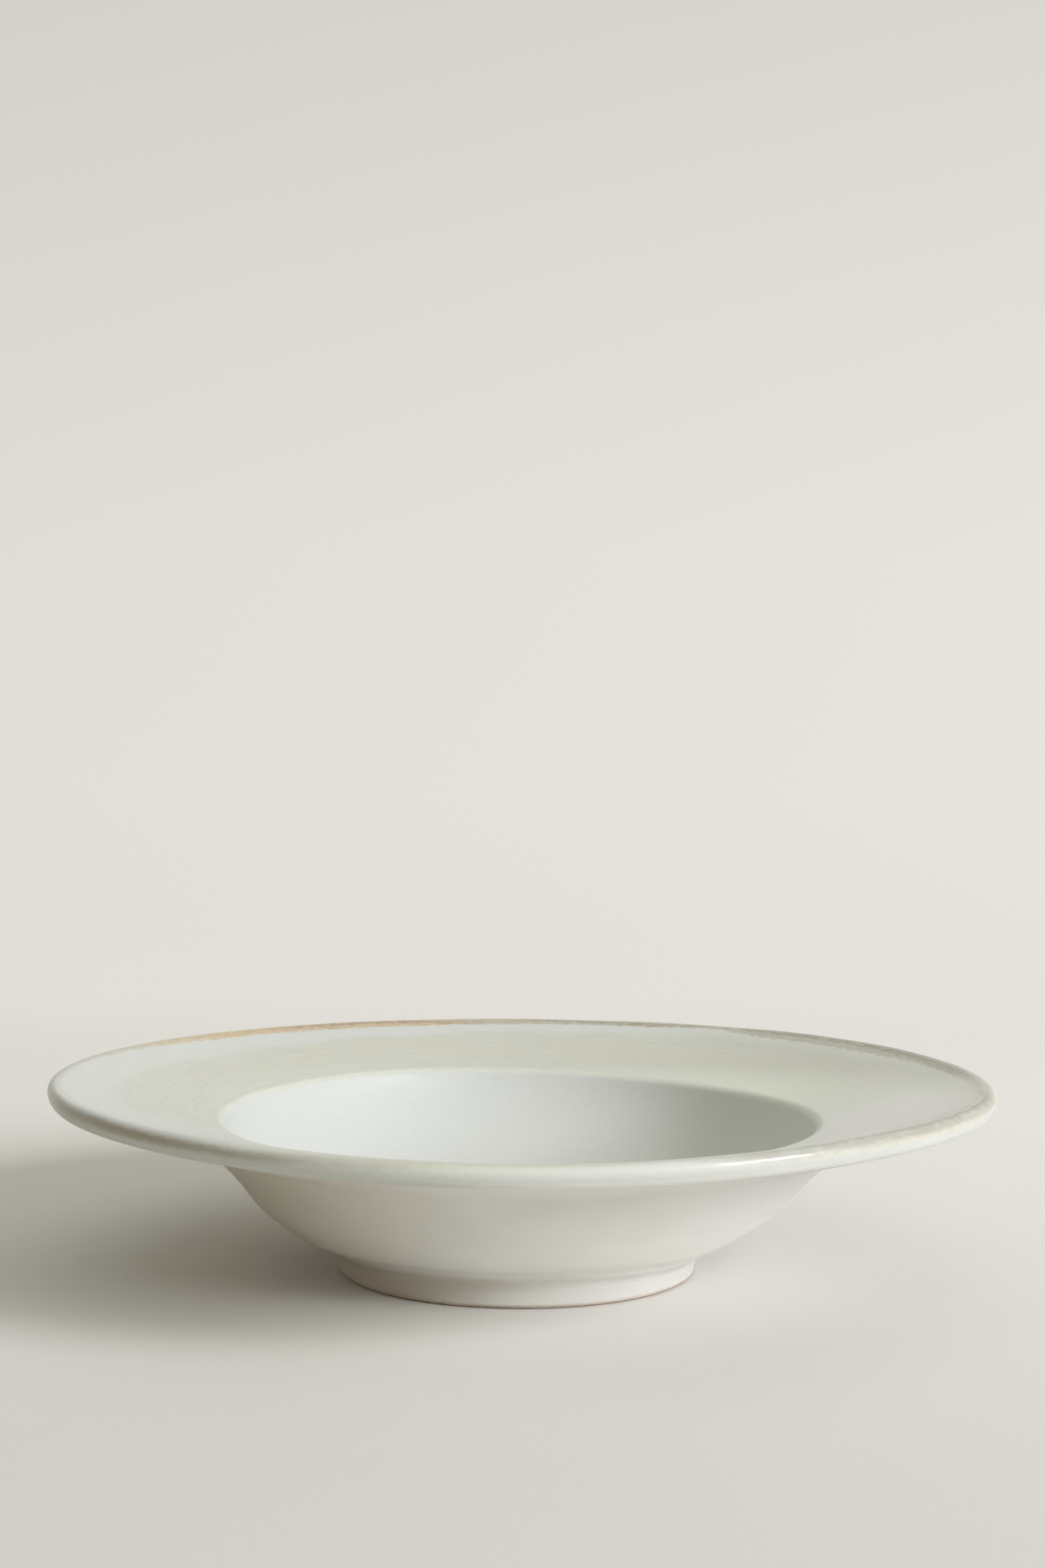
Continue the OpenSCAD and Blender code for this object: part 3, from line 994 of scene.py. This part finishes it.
# One large soft lamp from the front right, by its angles in degrees, and the room's own light
KEY_ELEVATION = 23.2
KEY_AZIMUTH = -33
KEY_DISTANCE = 3.5
KEY_SIZE = 1.22
KEY_POWER = 137
KEY_COLOUR = (0.975, 0.99, 1.02)
CEILING_LIGHT = 0.80
FRONT_LIGHT = 0.26
LEFT_LIGHT = 0.30
FILL_COLOUR = (0.995, 0.98, 0.88, 1)
# The camera: its place in millimetres, how far it looks down and leans in radians, and its lens
CAMERA_PLACE = (-0.82, -656.222, 153.257)
CAMERA_PITCH = 0.012
CAMERA_ROLL = 0.010
LENS = 50
SENSOR_W = 36


def paper():
    """Pale paper with a fine grain, darker towards the front with painted shade and lighter close to the
    bowl with painted light. What the camera sees of its back glows with painted light, darker towards the
    top and a little brighter to the right.
    """
    material, g = new_graph("pale_paper")
    place = g.node("ShaderNodeTexCoord").outputs["Object"]
    x, y, z = g.parts(place)
    # Darker towards the front: painted shade
    near = g.mix(g.step(y, -0.35, 0.4), FLOOR_FRONT_SHADE, FLOOR_BACK)
    # Painted light: the floor is lighter close to the bowl, mostly on its left where its shadow falls
    painted_light_by_bowl = g.times(g.step(g.radius(x, y), 0.17, 0.07), g.step(x, 0.07, -0.05))
    near = g.mix(g.times(painted_light_by_bowl, 0.8), near, FLOOR_BACK)
    grain = g.ripple(g.noise(place, 900.0, 2.0, 0.5), 0.04)
    near = g.mix(g.add(grain, 0.02), near, (0, 0, 0, 1))
    floor = g.node("ShaderNodeBsdfDiffuse", {"Color": near})
    # Painted light for what is seen of the back: darker towards the top, a little brighter to the right
    far = g.ramp(g.times(z, 1/BACK_TOP), BACK_STOPS, "LINEAR")
    back = g.node("ShaderNodeEmission", {"Color": far, "Strength": g.add(1.0, g.times(x, 0.05))})
    path = g.node("ShaderNodeLightPath").outputs
    looked_at = g.math("MAXIMUM", path["Is Camera Ray"], path["Is Glossy Ray"])
    looked_at = g.math("MAXIMUM", looked_at, path["Is Transmission Ray"])
    painted_glow = g.times(looked_at, g.step(y, 0.3, 0.75))
    front = g.node("ShaderNodeMixShader", {0: painted_glow, 1: floor.outputs[0], 2: back.outputs[0]})
    clear = g.node("ShaderNodeBsdfTransparent")
    from_behind = g.node("ShaderNodeNewGeometry").outputs["Backfacing"]
    both = g.node("ShaderNodeMixShader", {0: from_behind, 1: front.outputs[0], 2: clear.outputs[0]})
    g.node("ShaderNodeOutputMaterial", {"Surface": both.outputs[0]})
    return material


def make_sweep():
    """Floor that bends up into the backdrop."""
    profile = [(SWEEP_FRONT, 0.0)]
    for i in range(SWEEP_STEPS + 1):
        a = math.pi/2*i/SWEEP_STEPS
        profile.append((SWEEP_BACK - SWEEP_R + SWEEP_R*math.sin(a), SWEEP_R - SWEEP_R*math.cos(a)))
    profile.append((SWEEP_BACK, SWEEP_H))
    verts = [(x, y, z) for y, z in profile for x in (-SWEEP_HALF_W, SWEEP_HALF_W)]
    faces = [(2*i, 2*i + 1, 2*i + 3, 2*i + 2) for i in range(len(profile) - 1)]
    sweep = new_object("sweep", verts, faces, [True]*len(faces))
    sweep.data.materials.append(paper())


def make_lamp():
    """A large soft box from the front right."""
    lamp = bpy.data.lights.new("softbox", "AREA")
    lamp.shape = "SQUARE"
    lamp.size = KEY_SIZE
    lamp.energy = KEY_POWER
    lamp.color = KEY_COLOUR
    key = bpy.data.objects.new("softbox", lamp)
    e, a = math.radians(KEY_ELEVATION), math.radians(KEY_AZIMUTH)
    way = Vector((math.cos(e)*math.cos(a), math.cos(e)*math.sin(a), math.sin(e)))
    key.location = way*KEY_DISTANCE
    key.rotation_mode = "QUATERNION"
    key.rotation_quaternion = way.to_track_quat("Z", "Y")
    bpy.context.scene.collection.objects.link(key)


def make_room():
    """Weak light from the ceiling, the front and the left."""
    world = bpy.data.worlds.new("room")
    bpy.context.scene.world = world
    g = Graph(world)
    x, y, z = g.parts(g.node("ShaderNodeTexCoord").outputs["Generated"])
    level = 0.0
    sides = ((z, CEILING_LIGHT), (g.times(y, -1.0), FRONT_LIGHT), (g.times(x, -1.0), LEFT_LIGHT))
    for side, strength in sides:
        facing = g.math("MAXIMUM", side, 0.0)
        level = g.add(g.times(g.times(facing, facing), strength), level)
    background = g.node("ShaderNodeBackground", {"Color": FILL_COLOUR, "Strength": level})
    g.node("ShaderNodeOutputWorld", {"Surface": background.outputs[0]})


def make_camera():
    """The photograph's view, a little below level and leaning to one side."""
    data = bpy.data.cameras.new("camera")
    data.lens = LENS
    data.sensor_width = SENSOR_W
    data.clip_start = 0.01
    data.clip_end = 50
    camera = bpy.data.objects.new("camera", data)
    right = Vector((1, 0, 0))
    up = Vector((0, math.sin(CAMERA_PITCH), math.cos(CAMERA_PITCH)))
    ahead = Vector((0, math.cos(CAMERA_PITCH), -math.sin(CAMERA_PITCH)))
    turned_right = math.cos(CAMERA_ROLL)*right + math.sin(CAMERA_ROLL)*up
    turned_up = math.cos(CAMERA_ROLL)*up - math.sin(CAMERA_ROLL)*right
    camera.matrix_world = Matrix((turned_right, turned_up, -ahead)).transposed().to_4x4()
    camera.location = Vector(CAMERA_PLACE)*MM
    bpy.context.scene.collection.objects.link(camera)
    bpy.context.scene.camera = camera


make_inner_glaze()
make_band_glaze()
make_lip_glaze()
make_satin_glazes()
make_clay()
make_sweep()
make_lamp()
make_room()
make_camera()
bpy.context.scene.view_settings.view_transform = "Standard"
